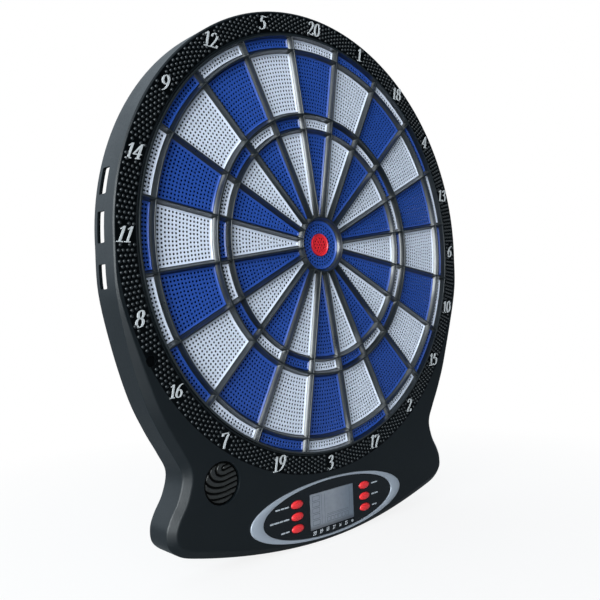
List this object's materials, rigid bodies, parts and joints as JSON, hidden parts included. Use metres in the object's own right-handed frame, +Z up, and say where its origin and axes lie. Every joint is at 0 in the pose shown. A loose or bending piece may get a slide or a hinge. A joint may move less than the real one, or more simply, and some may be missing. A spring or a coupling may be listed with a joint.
{
  "type": "electronic dartboard",
  "caption": "Wall-hung electronic dartboard with a round spider of pressable pads above a flared foot that holds a display, oval buttons and a speaker.",
  "frame": {"origin": "where the bull's axis meets the wall plane, on the rear cover's outer face", "axes": "+Z up the board, +X to the thrower's right, +Y into the wall; the thrower's side faces -Y"},
  "size_m": [0.381, 0.0288, 0.4351],
  "materials": {
    "housing_plastic": "fine moulded grain, satin black with a cool tint",
    "cover_plastic": "coarse moulded grain, matte black",
    "spider_plastic": "satin black",
    "segment_blue": "satin moulded plastic",
    "segment_white": "satin moulded plastic",
    "bull_red": "satin moulded plastic",
    "button_red": "glossy",
    "panel_plastic": "smooth black",
    "silver_trim": "silver paint on plastic, satin",
    "numeral_silver": "light grey printed or painted raised numerals",
    "lcd_glass": "clear window over a grey display",
    "lcd_module": "grey display glass",
    "rubber": "matte",
    "sensor_film": "printed film",
    "hardboard": "pressed hardboard",
    "circuit_board": "green solder mask",
    "steel": "plated",
    "cell_jacket": "plain shrink jacket",
    "cable_jacket": "PVC",
    "ribbon_film": "film"
  },
  "bodies": {
    "case": {"front_housing": "housing_plastic", "rear_cover": "cover_plastic", "spider": "spider_plastic", "rubber_mat": "rubber", "button_pad_left": "rubber", "button_pad_right": "rubber", "sensor_membrane": "sensor_film", "sensor_backing_plate": "hardboard", "control_panel": "panel_plastic", "speaker_grille": "panel_plastic", "panel_trim_ring": "silver_trim", "lcd_window": "lcd_glass", "lcd_module": "lcd_module", "main_board": "circuit_board", "speaker": "steel", "battery_contact_left": "steel", "battery_contact_right": "steel", "case_screw_1": "steel", "case_screw_2": "steel", "case_screw_3": "steel", "case_screw_4": "steel", "case_screw_5": "steel", "case_screw_6": "steel", "case_screw_7": "steel", "case_screw_8": "steel", "battery_1": "cell_jacket", "battery_2": "cell_jacket", "battery_3": "cell_jacket", "speaker_cable": "cable_jacket", "battery_cable": "cable_jacket", "ribbon_cable": "ribbon_film"},
    "segment_20": {"segment_20": "segment_blue"},
    "segment_01": {"segment_01": "segment_white"},
    "segment_18": {"segment_18": "segment_blue"},
    "segment_04": {"segment_04": "segment_white"},
    "segment_13": {"segment_13": "segment_blue"},
    "segment_06": {"segment_06": "segment_white"},
    "segment_10": {"segment_10": "segment_blue"},
    "segment_15": {"segment_15": "segment_white"},
    "segment_02": {"segment_02": "segment_blue"},
    "segment_17": {"segment_17": "segment_white"},
    "segment_03": {"segment_03": "segment_blue"},
    "segment_19": {"segment_19": "segment_white"},
    "segment_07": {"segment_07": "segment_blue"},
    "segment_16": {"segment_16": "segment_white"},
    "segment_08": {"segment_08": "segment_blue"},
    "segment_11": {"segment_11": "segment_white"},
    "segment_14": {"segment_14": "segment_blue"},
    "segment_09": {"segment_09": "segment_white"},
    "segment_12": {"segment_12": "segment_blue"},
    "segment_05": {"segment_05": "segment_white"},
    "outer_bull": {"outer_bull": "segment_blue"},
    "inner_bull": {"inner_bull": "bull_red"},
    "button_left_top": {"button_left_top": "button_red"},
    "button_left_middle": {"button_left_middle": "button_red"},
    "button_left_bottom": {"button_left_bottom": "button_red"},
    "button_right_top": {"button_right_top": "button_red"},
    "button_right_middle": {"button_right_middle": "button_red"},
    "button_right_bottom": {"button_right_bottom": "button_red"},
    "battery_door": {"battery_door": "cover_plastic"}
  },
  "joints": [
    {"name": "segment_20_press", "type": "slide", "parent": "case", "child": "segment_20", "axis": [0, 1, 0], "range_m": [0, 0.001], "stiffness_N_per_m": 300},
    {"name": "segment_01_press", "type": "slide", "parent": "case", "child": "segment_01", "axis": [0, 1, 0], "range_m": [0, 0.001], "stiffness_N_per_m": 300},
    {"name": "segment_18_press", "type": "slide", "parent": "case", "child": "segment_18", "axis": [0, 1, 0], "range_m": [0, 0.001], "stiffness_N_per_m": 300},
    {"name": "segment_04_press", "type": "slide", "parent": "case", "child": "segment_04", "axis": [0, 1, 0], "range_m": [0, 0.001], "stiffness_N_per_m": 300},
    {"name": "segment_13_press", "type": "slide", "parent": "case", "child": "segment_13", "axis": [0, 1, 0], "range_m": [0, 0.001], "stiffness_N_per_m": 300},
    {"name": "segment_06_press", "type": "slide", "parent": "case", "child": "segment_06", "axis": [0, 1, 0], "range_m": [0, 0.001], "stiffness_N_per_m": 300},
    {"name": "segment_10_press", "type": "slide", "parent": "case", "child": "segment_10", "axis": [0, 1, 0], "range_m": [0, 0.001], "stiffness_N_per_m": 300},
    {"name": "segment_15_press", "type": "slide", "parent": "case", "child": "segment_15", "axis": [0, 1, 0], "range_m": [0, 0.001], "stiffness_N_per_m": 300},
    {"name": "segment_02_press", "type": "slide", "parent": "case", "child": "segment_02", "axis": [0, 1, 0], "range_m": [0, 0.001], "stiffness_N_per_m": 300},
    {"name": "segment_17_press", "type": "slide", "parent": "case", "child": "segment_17", "axis": [0, 1, 0], "range_m": [0, 0.001], "stiffness_N_per_m": 300},
    {"name": "segment_03_press", "type": "slide", "parent": "case", "child": "segment_03", "axis": [0, 1, 0], "range_m": [0, 0.001], "stiffness_N_per_m": 300},
    {"name": "segment_19_press", "type": "slide", "parent": "case", "child": "segment_19", "axis": [0, 1, 0], "range_m": [0, 0.001], "stiffness_N_per_m": 300},
    {"name": "segment_07_press", "type": "slide", "parent": "case", "child": "segment_07", "axis": [0, 1, 0], "range_m": [0, 0.001], "stiffness_N_per_m": 300},
    {"name": "segment_16_press", "type": "slide", "parent": "case", "child": "segment_16", "axis": [0, 1, 0], "range_m": [0, 0.001], "stiffness_N_per_m": 300},
    {"name": "segment_08_press", "type": "slide", "parent": "case", "child": "segment_08", "axis": [0, 1, 0], "range_m": [0, 0.001], "stiffness_N_per_m": 300},
    {"name": "segment_11_press", "type": "slide", "parent": "case", "child": "segment_11", "axis": [0, 1, 0], "range_m": [0, 0.001], "stiffness_N_per_m": 300},
    {"name": "segment_14_press", "type": "slide", "parent": "case", "child": "segment_14", "axis": [0, 1, 0], "range_m": [0, 0.001], "stiffness_N_per_m": 300},
    {"name": "segment_09_press", "type": "slide", "parent": "case", "child": "segment_09", "axis": [0, 1, 0], "range_m": [0, 0.001], "stiffness_N_per_m": 300},
    {"name": "segment_12_press", "type": "slide", "parent": "case", "child": "segment_12", "axis": [0, 1, 0], "range_m": [0, 0.001], "stiffness_N_per_m": 300},
    {"name": "segment_05_press", "type": "slide", "parent": "case", "child": "segment_05", "axis": [0, 1, 0], "range_m": [0, 0.001], "stiffness_N_per_m": 300},
    {"name": "outer_bull_press", "type": "slide", "parent": "case", "child": "outer_bull", "axis": [0, 1, 0], "range_m": [0, 0.001], "stiffness_N_per_m": 150},
    {"name": "inner_bull_press", "type": "slide", "parent": "case", "child": "inner_bull", "axis": [0, 1, 0], "range_m": [0, 0.001], "stiffness_N_per_m": 150},
    {"name": "button_left_top_press", "type": "slide", "parent": "case", "child": "button_left_top", "axis": [0, 1, 0], "range_m": [0, 0.001], "stiffness_N_per_m": 40},
    {"name": "button_left_middle_press", "type": "slide", "parent": "case", "child": "button_left_middle", "axis": [0, 1, 0], "range_m": [0, 0.001], "stiffness_N_per_m": 40},
    {"name": "button_left_bottom_press", "type": "slide", "parent": "case", "child": "button_left_bottom", "axis": [0, 1, 0], "range_m": [0, 0.001], "stiffness_N_per_m": 40},
    {"name": "button_right_top_press", "type": "slide", "parent": "case", "child": "button_right_top", "axis": [0, 1, 0], "range_m": [0, 0.001], "stiffness_N_per_m": 40},
    {"name": "button_right_middle_press", "type": "slide", "parent": "case", "child": "button_right_middle", "axis": [0, 1, 0], "range_m": [0, 0.001], "stiffness_N_per_m": 40},
    {"name": "button_right_bottom_press", "type": "slide", "parent": "case", "child": "button_right_bottom", "axis": [0, 1, 0], "range_m": [0, 0.001], "stiffness_N_per_m": 40},
    {"name": "battery_door_hinge", "type": "hinge", "parent": "case", "child": "battery_door", "pos_m": [0.109, 0, -0.17], "axis": [1, 0, 0], "range_deg": [0, 85]}
  ]
}
